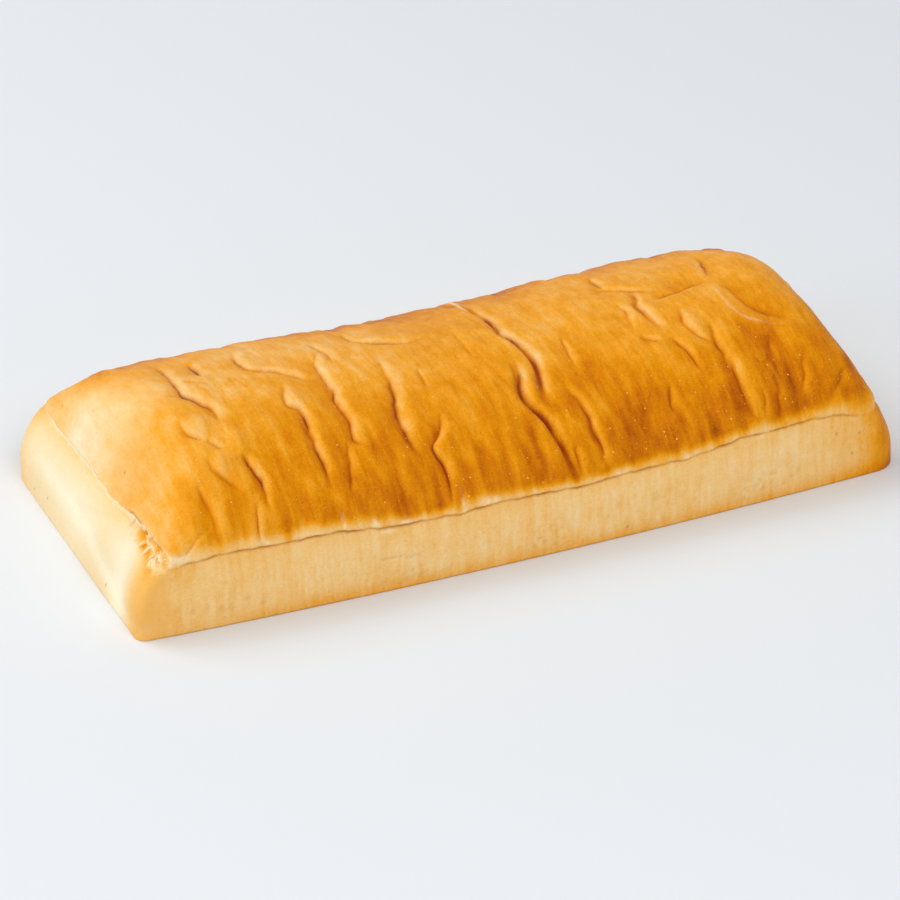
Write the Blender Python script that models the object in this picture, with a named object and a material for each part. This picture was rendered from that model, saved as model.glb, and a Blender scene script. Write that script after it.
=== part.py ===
"""White bread loaf, long and low, with a soft wrinkled crust.

The dough was baked in a shallow tin. Its sides stand where the tin's walls
were, and above them the crust rose free as a dome. A torn seam runs round the
loaf where the two meet. The dome sank a little as it cooled, so its crust lies
in folds that mostly cross the loaf.

The loaf is one solid. +X runs along it, +Y across it and +Z up, and the origin
is the middle of the flat base. All sizes are in metres.
"""
import math
import random
from collections import namedtuple

import bmesh
import bpy
from mathutils import Vector, noise

MM = 0.001

# Driving dimensions: the foot that the tin shaped.
LENGTH = 280 * MM
WIDTH = 132 * MM
SIDE_BOW = 4.2 * MM            # each long side is this much fuller at its middle than at its ends
CORNER_RADIUS = 9 * MM         # upright corners, in plan
BASE_EDGE_RADIUS = 2 * MM      # round edge between the walls and the base

# Driving dimensions: the walls, which curl inwards only near the seam.
SEAM_HEIGHT = 24.6 * MM
SEAM_SMILE = 2.6 * MM          # the seam climbs this much from the middle to the ends ...
SEAM_SMILE_LEVEL = 0.4         # ... and this share of it is below SEAM_HEIGHT
LEFT_LEAN = 11 * MM            # how far the end at -X leans in, from foot to seam
RIGHT_LEAN = 7.4 * MM
SIDE_LEAN = 2 * MM
LEAN_POWER = 3.4
WALL_DENTS = 0.7 * MM          # shallow hollows where the walls shrank from the tin
DENT_SIZE = 30 * MM

# Driving dimensions: the dome above the seam.
RIDGE_RISE = 25.6 * MM         # ridge above seam at the middle of the loaf
RIDGE_SAG = 6 * MM             # the ridge is this much higher towards the ends
RIDGE_SHIFT = -5 * MM          # the ridge leans to the front
ACROSS_POWER = 2.0             # superellipse across the loaf
ACROSS_ROOT = 1.5
LEFT_SLOPE = 26 * MM           # length of the slope from the -X seam to the level ridge
LEFT_POWER = 2.15              # superellipse of that slope
LEFT_ROOT = 1.25
RIGHT_SLOPE = 36 * MM
RIGHT_POWER = 3.5
RIGHT_ROOT = 1.6
HIP_SOFTNESS = 0.7             # how softly the end slopes meet the long ones; smaller is softer

# Driving dimensions: the crust.
SEAM_DEPTH = 1.1 * MM          # groove of the torn seam
SEAM_LIP = 0.9 * MM            # the dome stands proud of the wall by this much
LIP_REACH = 5 * MM             # and for this far above the seam
SEAM_CLOSES = 112 * MM         # the seam starts to close here, towards the +X end ...
SEAM_CLOSED = 136 * MM         # ... and is down to a shallow crease here
CREASE_SHARE = 0.3
HALF_GIRTH = 76 * MM           # crust from the ridge down to a long side's seam
LUMP_HEIGHT = 0.8 * MM         # soft unevenness between the folds
LUMP_LENGTH = 22 * MM
LUMP_BREADTH = 55 * MM
STEEP_SIDE = 0.8               # a fold's valley is steep on its -X side ...
GENTLE_SIDE = 1.4              # ... and opens gently on its +X side
NEAR_BULGE = 0.45              # the crust bulges by this share of the fold's depth ...
NEAR_BULGE_PLACE = -1.6        # ... this many valley widths from it, on the -X side
FAR_BULGE = 0.27
FAR_BULGE_PLACE = 3.0

# Grid of the crust: faces along, across and up the wall.
FACES_ALONG = 132
FACES_ACROSS = 28
WALL_LEVELS = (0.0, 0.03, 0.1, 0.6, 0.92, 1.0)
ON_SEAM = 0.9999               # grid places beyond this lie on the seam
NORMAL_STEP = 0.004            # grid step for the dome's slope
END_CROWDING = 1.3             # faces crowd towards the ends ...
SIDE_CROWDING = 1.4            # ... and towards the long sides

# A fold runs over the crust from one point to another. A point is a place along
# the loaf in mm and a share of the half girth, -1 at the front seam, 0 on the
# ridge and 1 at the back seam. Bow and twist bend it to a C and to an S, in mm.
Fold = namedtuple("Fold", "x0 across0 x1 across1 bow twist width depth")
FRONT_FOLDS = (
    Fold(-95, 0.62, -94, -0.24, -6, 1, 3.2, 1.5),      # nick near the -X shoulder
    Fold(-82, 0.70, -88, 0.15, -2, 0, 3.0, 1.1),
    Fold(-63, 0.75, -51, -0.12, -9, 0, 3.6, 1.4),      # long slanting fold behind the ridge
    Fold(-67, -0.06, -69, -0.80, -1, 1, 3.4, 1.8),
    Fold(-50, 0.26, -53, -0.64, -2, 0, 3.4, 2.2),      # deep pair left of the middle
    Fold(-46, 0.20, -50, -0.46, 0, 1, 2.6, 1.4),
    Fold(-31, 0.04, -36, -0.80, -1, 2, 3.6, 1.5),
    Fold(-25, -0.44, -30, -1.0, 1, 0, 3.2, 1.9),
    Fold(13, 0.70, 14, -0.62, 1, -2, 3.6, 2.3),        # the great double fold of the middle
    Fold(9, -0.34, 14, -1.0, -3, 0, 4.2, 2.3),
    Fold(17, -0.84, 14, -1.0, 0, 0, 2.4, 1.2),
    Fold(26, -0.58, 26, -0.98, 1, 0, 3.6, 1.1),
    Fold(61, 0.32, 62, -0.40, 4, 0, 3.4, 1.9),         # crumpled patch towards the +X end
    Fold(68, -0.02, 96, 0.04, 0, 1, 2.6, 1.2),
    Fold(107, 0.45, 95, 0.04, 1, 0, 3.2, 1.1),
    Fold(94, 0.0, 112, -0.52, -7, 0, 3.4, 1.2),
    Fold(84, -0.34, 83, -0.95, -2, 0, 4.0, 1.4),
    Fold(101, -0.50, 98, -0.70, 0, 0, 3.0, 1.0),
    Fold(-93, -0.58, -92, -0.92, 1, 0, 3.2, 1.8),
    Fold(-111, -0.74, -108, -0.96, 0, 0, 3.4, 1.1),
    Fold(-31, 0.52, -25, 0.16, -2, 0, 3.4, 0.9),
)

# Swells are broad rises and hollows of the dome: place as above, then half
# length and half breadth, and height, in mm.
Swell = namedtuple("Swell", "x across length breadth height")
SWELLS = (
    Swell(-68, 0.6, 24, 30, 0.9),
    Swell(0, 0.5, 30, 40, -1.2),
    Swell(66, 0.6, 26, 32, 0.9),
    Swell(121, 0.0, 16, 26, 1.5),
    Swell(126, -0.5, 14, 20, -1.2),
)

# The hidden back of the dome is folded like the front, at an uneven spacing.
BACK_FOLD_COUNT = 12
BACK_FOLD_REACH = 112          # mm from the middle of the loaf to the last fold
BACK_FOLD_WANDER = 5           # mm that a fold may stray along the loaf
BACK_FOLD_SEED = 7


def remove_existing_objects():
    for existing in list(bpy.data.objects):
        bpy.data.objects.remove(existing, do_unlink=True)


def crowded(share, power):
    """Move a grid place between -1 and 1 outwards, so that faces crowd at the rim."""
    return math.copysign(1 - (1 - abs(share)) ** power, share)


def half_length(u, height_share):
    lean = LEFT_LEAN if u < 0 else RIGHT_LEAN
    return LENGTH / 2 - lean * height_share ** LEAN_POWER


def plan_point(u, v, height_share):
    """Place in plan of a grid point, on an outline with bowed sides and round corners."""
    end = half_length(u, height_share)
    x = u * end
    side = WIDTH / 2 - SIDE_LEAN * height_share ** LEAN_POWER
    side -= SIDE_BOW * (x / (LENGTH / 2)) ** 2
    past_corner = min(max(abs(x) - (end - CORNER_RADIUS), 0), CORNER_RADIUS)
    rounding = CORNER_RADIUS - math.sqrt(CORNER_RADIUS ** 2 - past_corner ** 2)
    return x, v * (side - rounding)


def seam_height(x):
    return SEAM_HEIGHT + SEAM_SMILE * ((x / (LENGTH / 2)) ** 2 - SEAM_SMILE_LEVEL)


def wall_point(u, v, height_share):
    x, y = plan_point(u, v, height_share)
    z = height_share * seam_height(x)
    edge = max(1 - z / BASE_EDGE_RADIUS, 0)
    inset = BASE_EDGE_RADIUS * (1 - math.sqrt(1 - edge ** 2))
    dent = WALL_DENTS * abs(noise.noise(Vector((x, y, z)) / DENT_SIZE))
    inset += dent * math.sin(math.pi * height_share)
    outward = Vector((x / LENGTH, y / WIDTH, 0)).normalized()
    return Vector((x, y, z)) - outward * inset


def dome_share(u, v, x):
    """Height of the smooth dome as a share of the ridge's rise."""
    across = max(1 - abs(v) ** ACROSS_POWER, 0) ** (1 / ACROSS_ROOT)
    left = u < 0
    slope = LEFT_SLOPE if left else RIGHT_SLOPE
    power = LEFT_POWER if left else RIGHT_POWER
    root = LEFT_ROOT if left else RIGHT_ROOT
    run = max((abs(x) - (half_length(u, 1) - slope)) / slope, 0)
    along = max(1 - min(run, 1) ** power, 0) ** (1 / root)
    if across <= 0 or along <= 0:
        return 0.0
    return (across ** -HIP_SOFTNESS + along ** -HIP_SOFTNESS - 1) ** (-1 / HIP_SOFTNESS)


def smooth_dome_point(u, v):
    x, y = plan_point(u, v, 1)
    share = dome_share(u, v, x)
    rise = RIDGE_RISE + RIDGE_SAG * (x / (LENGTH / 2)) ** 2
    return Vector((x, y + RIDGE_SHIFT * share, seam_height(x) + rise * share))


def dome_normal(u, v):
    u = min(max(u, NORMAL_STEP - 1), 1 - NORMAL_STEP)
    v = min(max(v, NORMAL_STEP - 1), 1 - NORMAL_STEP)
    along = smooth_dome_point(u + NORMAL_STEP, v) - smooth_dome_point(u - NORMAL_STEP, v)
    across = smooth_dome_point(u, v + NORMAL_STEP) - smooth_dome_point(u, v - NORMAL_STEP)
    return along.cross(across).normalized()


def fold_relief(fold, x, across):
    """Height that one fold adds to the crust at a place, negative in its valley."""
    chord = Vector((fold.x1 - fold.x0, (fold.across1 - fold.across0) * HALF_GIRTH / MM))
    offset = Vector((x / MM - fold.x0, (across - fold.across0) * HALF_GIRTH / MM))
    run = offset.dot(chord) / chord.length_squared
    if not 0 < run < 1:
        return 0.0
    aside = offset.cross(chord) / chord.length * math.copysign(1, -chord.y)
    aside -= fold.bow * math.sin(math.pi * run) + fold.twist * math.sin(2 * math.pi * run)
    side = STEEP_SIDE if aside < 0 else GENTLE_SIDE
    relief = -math.exp(-(aside / (fold.width * side)) ** 2)
    relief += NEAR_BULGE * math.exp(-(aside / fold.width - NEAR_BULGE_PLACE) ** 2)
    relief += FAR_BULGE * math.exp(-(aside / fold.width - FAR_BULGE_PLACE) ** 2)
    taper = 1 - abs(2 * run - 1) ** 4
    return fold.depth * MM * taper * relief


def swell_relief(swell, x, across):
    along = (x / MM - swell.x) / swell.length
    sideways = (across - swell.across) * HALF_GIRTH / MM / swell.breadth
    return swell.height * MM * math.exp(-along ** 2 - sideways ** 2)


def back_folds():
    draw = random.Random(BACK_FOLD_SEED)
    folds = []
    spacing = 2 * BACK_FOLD_REACH / (BACK_FOLD_COUNT - 1)
    for number in range(BACK_FOLD_COUNT):
        foot_x = number * spacing - BACK_FOLD_REACH + draw.uniform(-BACK_FOLD_WANDER, BACK_FOLD_WANDER)
        top_x = foot_x + draw.uniform(-BACK_FOLD_WANDER, BACK_FOLD_WANDER)
        foot = draw.uniform(0.85, 1.0)
        top = draw.uniform(0.45, 0.7)
        bow = draw.uniform(-3, 3)
        width = draw.uniform(2.8, 4.0)
        depth = draw.uniform(0.9, 2.2)
        folds.append(Fold(foot_x, foot, top_x, top, bow, 1, width, depth))
    return folds


def crust_relief(folds, x, across):
    """Height of folds, swells and lumps together at a place on the crust."""
    relief = LUMP_HEIGHT * noise.noise((x / LUMP_LENGTH, across * HALF_GIRTH / LUMP_BREADTH, 0))
    relief += sum(swell_relief(swell, x, across) for swell in SWELLS)
    relief += sum(fold_relief(fold, x, across) for fold in folds)
    return relief


def seam_openness(x):
    closing = (x - SEAM_CLOSES) / (SEAM_CLOSED - SEAM_CLOSES)
    return 1 - (1 - CREASE_SHARE) * min(max(closing, 0), 1)


def dome_point(folds, u, v):
    """Place of a crust point: the smooth dome, its lip over the seam and its relief."""
    point = smooth_dome_point(u, v)
    outward = Vector((point.x / LENGTH, point.y / WIDTH, 0)).normalized()
    openness = seam_openness(point.x)
    if max(abs(u), abs(v)) > ON_SEAM:
        return point - outward * SEAM_DEPTH * openness
    above_seam = point.z - seam_height(point.x)
    lip = SEAM_LIP * openness * math.exp(-(above_seam / LIP_REACH) ** 2)
    settled = min(above_seam / LIP_REACH, 1)
    relief = crust_relief(folds, point.x, v)
    return point + outward * lip + dome_normal(u, v) * relief * settled


def gridded_cube():
    """A cube from -1 to 1, cut into the faces that the crust and the walls need."""
    mesh = bmesh.new()
    bmesh.ops.create_cube(mesh, size=2)
    faces = (FACES_ALONG, FACES_ACROSS, len(WALL_LEVELS) - 1)
    for axis, count in enumerate(faces):
        parallel = [edge for edge in mesh.edges
                    if edge.verts[0].co[axis] * edge.verts[1].co[axis] < 0]
        bmesh.ops.subdivide_edges(mesh, edges=parallel, cuts=count - 1, use_grid_fill=True)
    return mesh


def flatten_base(mesh):
    """Make the underside one flat face."""
    underside = [face for face in mesh.faces if face.normal.z < -0.5]
    bmesh.ops.dissolve_faces(mesh, faces=underside, use_verts=True)


def shape_loaf(mesh):
    folds = list(FRONT_FOLDS) + back_folds()
    for vertex in mesh.verts:
        u = crowded(vertex.co.x, END_CROWDING)
        v = crowded(vertex.co.y, SIDE_CROWDING)
        level = round((vertex.co.z + 1) / 2 * (len(WALL_LEVELS) - 1))
        if level == len(WALL_LEVELS) - 1:
            vertex.co = dome_point(folds, u, v)
        else:
            vertex.co = wall_point(u, v, WALL_LEVELS[level])


def crust_material():
    material = bpy.data.materials.new("golden_crust")
    material.use_nodes = True
    shader = material.node_tree.nodes["Principled BSDF"]
    shader.inputs["Base Color"].default_value = (0.80, 0.42, 0.10, 1)
    shader.inputs["Roughness"].default_value = 0.6
    shader.inputs["Metallic"].default_value = 0
    return material


def build_loaf(collection):
    shape = gridded_cube()
    shape.normal_update()
    flatten_base(shape)
    shape_loaf(shape)
    bmesh.ops.recalc_face_normals(shape, faces=shape.faces)
    mesh = bpy.data.meshes.new("loaf")
    shape.to_mesh(mesh)
    shape.free()
    mesh.shade_smooth()
    loaf = bpy.data.objects.new("loaf", mesh)
    loaf.data.materials.append(crust_material())
    collection.objects.link(loaf)
    return loaf


remove_existing_objects()
bread = bpy.data.collections.new("white_bread_loaf")
bpy.context.scene.collection.children.link(bread)
build_loaf(bread)
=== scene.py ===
"""White bread loaf from a shallow tin, dressed with its wrinkled golden crust.

The script follows the loaf as it was made: the dough that the tin shaped, the
dome that rose over the rim, the seam that tore between them, and the folds that
came as the dome cooled. Loose details, the floor and the lights come after it.
Lengths inside the sections are in millimetres; meshes are scaled to metres.
"""

import math
from collections import namedtuple

import bpy
import numpy as np
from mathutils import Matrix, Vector, noise


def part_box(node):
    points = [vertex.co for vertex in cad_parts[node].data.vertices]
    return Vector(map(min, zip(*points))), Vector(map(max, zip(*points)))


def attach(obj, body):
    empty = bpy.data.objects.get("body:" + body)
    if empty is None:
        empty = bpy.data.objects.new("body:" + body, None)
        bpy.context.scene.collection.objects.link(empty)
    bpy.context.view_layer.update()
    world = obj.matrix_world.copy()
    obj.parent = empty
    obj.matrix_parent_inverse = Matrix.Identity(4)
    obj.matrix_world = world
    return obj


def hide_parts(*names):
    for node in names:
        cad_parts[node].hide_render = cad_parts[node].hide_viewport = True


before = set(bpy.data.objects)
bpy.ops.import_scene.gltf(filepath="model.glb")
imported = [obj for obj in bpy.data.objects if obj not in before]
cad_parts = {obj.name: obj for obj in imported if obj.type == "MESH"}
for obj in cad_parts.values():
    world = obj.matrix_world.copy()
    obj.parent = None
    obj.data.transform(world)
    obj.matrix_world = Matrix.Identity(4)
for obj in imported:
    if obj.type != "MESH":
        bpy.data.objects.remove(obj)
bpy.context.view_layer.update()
MM = 0.001

# ------------------------------
# Camera. It stands in front of the loaf and to its left, looking down on it
# through a long lens, so that the far end hardly shrinks.
CAMERA_TURN = math.radians(24.08)
CAMERA_RISE = math.radians(29.87)
CAMERA_DISTANCE = 1.3717
CAMERA_TARGET = Vector((-0.0152, -0.0284, 0.025))
LENS = 163.75
SENSOR = 36

towards_camera = Vector((
    -math.sin(CAMERA_TURN) * math.cos(CAMERA_RISE),
    -math.cos(CAMERA_TURN) * math.cos(CAMERA_RISE),
    math.sin(CAMERA_RISE),
))
camera_data = bpy.data.cameras.new("camera")
camera_data.lens = LENS
camera_data.sensor_width = SENSOR
camera = bpy.data.objects.new("camera", camera_data)
camera.location = CAMERA_TARGET + towards_camera * CAMERA_DISTANCE
camera.rotation_euler = towards_camera.to_track_quat("Z", "Y").to_euler()
bpy.context.scene.collection.objects.link(camera)
bpy.context.scene.camera = camera
bpy.context.scene.view_settings.view_transform = "Standard"

# ------------------------------
# Foot of the loaf. The dough filled a shallow tin, so its sides stand upright
# with round corners and a round lower edge, and lean in only near the rim.
# The long sides bow out a little, as soft bread does.
foot_low, foot_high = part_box("loaf")
LENGTH = (foot_high.x - foot_low.x) / MM
WIDTH = (foot_high.y - foot_low.y) / MM
SIDE_BOW = 4.2
FRONT_LEFT_RADIUS = 3.5
BACK_LEFT_RADIUS = 12
BACK_LEFT_TIGHTENING = 5  # the back left corner is this much sharper at the rim
RIGHT_RADIUS = 9
BASE_EDGE_RADIUS = 0.4
# How far the walls lean in at the rim, and how late on their way up they do so.
LEFT_LEAN = 11
RIGHT_LEAN = 9
SIDE_LEAN = 2
LEAN_POWER = 3.4
RIGHT_LEAN_POWER = 2.6
SEED_SHIFT = np.array((11.7, 5.3, 8.9))


def half_length(u, height_share):
    left_lean = LEFT_LEAN * height_share ** LEAN_POWER
    right_lean = RIGHT_LEAN * height_share ** RIGHT_LEAN_POWER
    return LENGTH / 2 - np.where(u < 0, left_lean, right_lean)


def plan_point(u, v, height_share):
    """Place in plan of a grid point; u and v run from -1 to 1 along and across."""
    end = half_length(u, height_share)
    x = u * end
    side = WIDTH / 2 - SIDE_LEAN * height_share ** LEAN_POWER - SIDE_BOW * (x / (LENGTH / 2)) ** 2
    back_left_radius = BACK_LEFT_RADIUS - BACK_LEFT_TIGHTENING * height_share
    radius = np.where(u > 0, RIGHT_RADIUS, np.where(v > 0, back_left_radius, FRONT_LEFT_RADIUS))
    past_corner = np.clip(np.abs(x) - (end - radius), 0, radius)
    rounding = radius - np.sqrt(radius ** 2 - past_corner ** 2)
    return x, v * (side - rounding)


def in_plan(x, y):
    return np.stack((x, y, np.zeros_like(x)), -1)


def unit(vectors):
    return vectors / np.maximum(np.linalg.norm(vectors, axis=-1, keepdims=True), 1e-9)


def soft_noise(places, size, seed):
    """Smooth unevenness from -1 to 1 at each place; size is the width of its features in mm."""
    scaled = (places / np.asarray(size, float) + seed * SEED_SHIFT).reshape(-1, 3)
    return np.array([noise.noise(place) for place in scaled.tolist()]).reshape(places.shape[:-1])


# ------------------------------
# Seam. Where the dough rose over the rim its skin tore, all round. The tear
# wanders up and down by a millimetre or so and climbs a little to both ends.
SEAM_HEIGHT = 24.6
SEAM_SMILE = 2.6
SEAM_SMILE_LEVEL = 0.4
# Places along the front, and how much higher than its smile the seam runs there.
SEAM_WANDER_X = (-140, -124, -111, -68, -50, -28, -13, 13, 35, 56, 76, 100, 109, 116, 121, 140)
SEAM_WANDER_UP = (-0.6, -0.9, 1.0, 1.0, -1.2, -1.2, 0.0, -1.1, -0.5, -0.8, 1.6, 1.3, 0.4, 0.0, -2.2,
                  -1.8)
SEAM_JAGS = ((0.68, 5.5, 2), (0.32, 2.0, 3))  # height and length in mm, and seed
BACK_WANDER = 1.4
BACK_WANDER_LENGTH = 38
FRONT_TO_BACK = (45, -45)  # the front's wander gives way to the back's between these
BACK_DROOP = 2.6  # at the back of the -X end the seam hangs lower
BACK_DROOP_X = (-105, -125)
# Places across the -X end, and how much higher than its corners the seam runs there.
END_RISE_Y = (-64, -57, -50, -40, -30, -23, -12, 6, 24, 42, 58)
END_RISE_UP = (0.0, 0.5, 2.4, 3.4, 3.2, 2.5, 0.9, 1.5, 1.0, 0.6, 1.0)
END_RISE_X = (-118, -128)


def ramp(value, start, end):
    """0 before start, 1 past end and even between them; start may be the larger of the two."""
    return np.clip((value - start) / (end - start), 0, 1)


def even_seam_height(x):
    return SEAM_HEIGHT + SEAM_SMILE * ((x / (LENGTH / 2)) ** 2 - SEAM_SMILE_LEVEL)


def seam_wander(x, y):
    """How far the torn seam strays from its even height, at a place in plan."""
    level = in_plan(x, y)
    front_wander = np.interp(x, SEAM_WANDER_X, SEAM_WANDER_UP)
    back_wander = BACK_WANDER * soft_noise(level, BACK_WANDER_LENGTH, 1)
    back_wander -= BACK_DROOP * ramp(x, *BACK_DROOP_X)
    wander = back_wander + (front_wander - back_wander) * ramp(y, *FRONT_TO_BACK)
    wander += np.interp(y, END_RISE_Y, END_RISE_UP) * ramp(x, *END_RISE_X)
    for height, length, seed in SEAM_JAGS:
        wander += height * soft_noise(level, length, seed)
    return wander


# ------------------------------
# Dome. The free dough above the rim rose to a low vault, a little fuller to
# the front, with a short steep slope at the -X end and a longer one at +X.
RIDGE_RISE = 25.6
RIDGE_SAG = 6
RIDGE_SHIFT = -5
ACROSS_POWER = 2.0
ACROSS_ROOT = 1.5
LEFT_SLOPE = (26, 2.15, 1.25)  # length of the end's slope in mm, its power and its root
RIGHT_SLOPE = (36, 3.5, 1.9)
HIP_SOFTNESS = 0.7
HALF_GIRTH = 76


def rise_along(x, end):
    """Height of the ridge line as a share, at a place along the loaf."""
    slope, power, root = (np.where(x < 0, *pair) for pair in zip(LEFT_SLOPE, RIGHT_SLOPE))
    run = np.clip((np.abs(x) - (end - slope)) / slope, 0, 1)
    return (1 - run ** power) ** (1 / root)


def rise_across(v):
    return (1 - np.abs(v) ** ACROSS_POWER) ** (1 / ACROSS_ROOT)


def dome_share(u, v, x):
    """Height of the vault as a share of the ridge, 0 on the seam."""
    across = np.maximum(rise_across(v), 1e-9)
    along = np.maximum(rise_along(x, half_length(u, 1)), 1e-9)
    return (across ** -HIP_SOFTNESS + along ** -HIP_SOFTNESS - 1) ** (-1 / HIP_SOFTNESS)


# The dome's grid has even steps along the crust, and fine ones by the seam.
CRUST_STEP_ALONG = 0.72
CRUST_STEP_ACROSS = 0.9
SEAM_STEPS = np.array((0, 0.3, 0.6, 0.95, 1.35, 1.85, 2.5, 3.2))
MEASURING_STEPS = 6000


def grid_half(half_width, rise_at, step):
    """Grid places from the rim (1) to just short of the middle (0)."""
    inward = np.linspace(0, 1, MEASURING_STEPS + 1) ** 3
    sideways = half_width * inward
    run = np.hypot(np.diff(sideways), RIDGE_RISE * np.diff(rise_at(1 - inward)))
    run = np.concatenate(([0], np.cumsum(run)))
    even_steps = np.arange(SEAM_STEPS[-1] + step, run[-1] - step / 2, step)
    return 1 - np.interp(np.concatenate((SEAM_STEPS, even_steps)), run, inward)


left_end = float(half_length(np.array(-1.0), 1))
right_end = float(half_length(np.array(1.0), 1))
left_lines = grid_half(left_end, lambda s: rise_along(-s * left_end, left_end), CRUST_STEP_ALONG)
right_lines = grid_half(right_end, lambda s: rise_along(s * right_end, right_end), CRUST_STEP_ALONG)
side_lines = grid_half(WIDTH / 2, rise_across, CRUST_STEP_ACROSS)
along_lines = np.concatenate((-left_lines, [0], right_lines[::-1]))
across_lines = np.concatenate((-side_lines, [0], side_lines[::-1]))
grid_u, grid_v = np.meshgrid(along_lines, across_lines, indexing="ij")

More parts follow.
